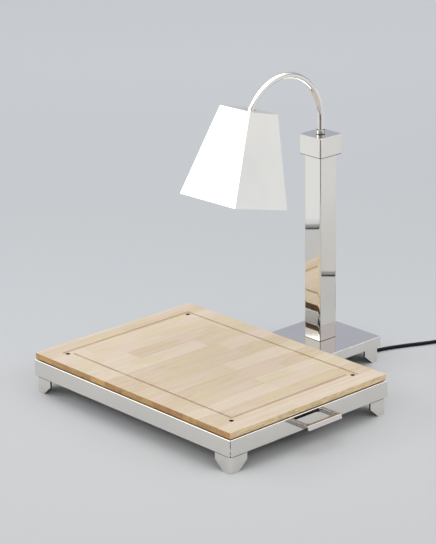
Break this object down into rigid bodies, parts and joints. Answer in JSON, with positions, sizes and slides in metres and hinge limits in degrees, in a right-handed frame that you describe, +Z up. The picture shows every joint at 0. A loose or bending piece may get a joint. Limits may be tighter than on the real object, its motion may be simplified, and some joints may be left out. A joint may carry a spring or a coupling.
{
  "type": "heated carving station",
  "caption": "Carving station: grooved wooden board over a drip pan on a footed polished-steel base, with a post-mounted heat lamp whose square shade hangs from a bent arm.",
  "frame": {"origin": "on the table, under the middle of the station's outline without its cord", "axes": "+X along the board's long side, +Y from the board towards the lamp, +Z up"},
  "size_m": [0.682, 0.9749, 0.6717],
  "materials": {
    "polished_steel": "mirror polished stainless steel",
    "pan_steel": "satin stainless steel",
    "plated_fasteners": "zinc plated",
    "plain_steel": "dull plain steel",
    "board_maple": "oiled edge-glued maple",
    "black_plastic": "matte black moulding",
    "red_plastic": "gloss red moulding",
    "tie_plastic": "dark grey strap",
    "cord_rubber": "black flexible jacket",
    "contact_brass": "bare metal",
    "porcelain": "white glazed porcelain",
    "bulb_glass": "frosted glass"
  },
  "bodies": {
    "base": {"frame": "polished_steel", "foot_front_left": "polished_steel", "foot_front_right": "polished_steel", "foot_back_left": "polished_steel", "foot_back_right": "polished_steel", "foot_screws": "plated_fasteners", "handle_left": "polished_steel", "handle_right": "polished_steel", "handle_screws": "plated_fasteners"},
    "pan": {"drip_pan": "pan_steel", "pan_side_front": "pan_steel", "pan_side_back": "pan_steel", "pan_end_left": "pan_steel", "pan_end_right": "pan_steel"},
    "board": {"carving_board": "board_maple"},
    "lamp": {"lamp_base_shell": "polished_steel", "ballast_plate": "plain_steel", "lamp_base_cover": "plain_steel", "cover_spacers": "plain_steel", "lamp_foot_front_left": "polished_steel", "lamp_foot_front_right": "polished_steel", "lamp_foot_back_left": "polished_steel", "lamp_foot_back_right": "polished_steel", "lamp_foot_screws": "plated_fasteners", "terminal_block": "black_plastic", "supply_wires": "cord_rubber", "switch_housing": "black_plastic", "strain_relief": "black_plastic", "gland_nut": "black_plastic", "post_locator": "plain_steel", "post": "polished_steel", "tie_pipe": "plain_steel", "tie_nut": "plated_fasteners", "tie_washer": "plated_fasteners", "post_cap": "polished_steel", "arm_set_screw": "plated_fasteners", "cord_lead": "cord_rubber", "cord_coil": "cord_rubber", "cord_tie": "tie_plastic", "plug_body": "black_plastic", "plug_blades": "contact_brass"},
    "rocker": {"switch_rocker": "red_plastic"},
    "arm": {"arm_tube": "polished_steel", "arm_collar": "polished_steel", "arm_end_fitting": "plated_fasteners", "tilt_screws": "plated_fasteners", "lamp_lead": "cord_rubber"},
    "shade": {"shade": "polished_steel", "shade_hanger": "plain_steel", "socket_screws": "plated_fasteners", "lamp_socket": "porcelain", "socket_contact": "contact_brass", "bulb_base": "contact_brass", "bulb_glass": "bulb_glass"}
  },
  "joints": [
    {"name": "pan_lift", "type": "slide", "parent": "base", "child": "pan", "axis": [0, 0, 1], "range_m": [0, 0.12]},
    {"name": "board_lift", "type": "slide", "parent": "pan", "child": "board", "axis": [0, 0, 1], "range_m": [0, 0.1]},
    {"name": "lamp_slide", "type": "slide", "parent": "base", "child": "lamp", "axis": [0, 1, 0], "range_m": [0, 0.1]},
    {"name": "arm_swivel", "type": "hinge", "parent": "lamp", "child": "arm", "pos_m": [-0.0037, 0.23109, 0.5174], "axis": [0, 0, 1], "range_deg": [-90, 90]},
    {"name": "shade_tilt", "type": "hinge", "parent": "arm", "child": "shade", "pos_m": [0.00679, 0.00859, 0.59975], "axis": [0.9989, 0.0471, 0], "range_deg": [-12, 14]},
    {"name": "switch_rock", "type": "hinge", "parent": "lamp", "child": "rocker", "pos_m": [-0.0437, 0.32429, 0.04295], "axis": [0, 0, 1], "range_deg": [-16, 0]}
  ]
}
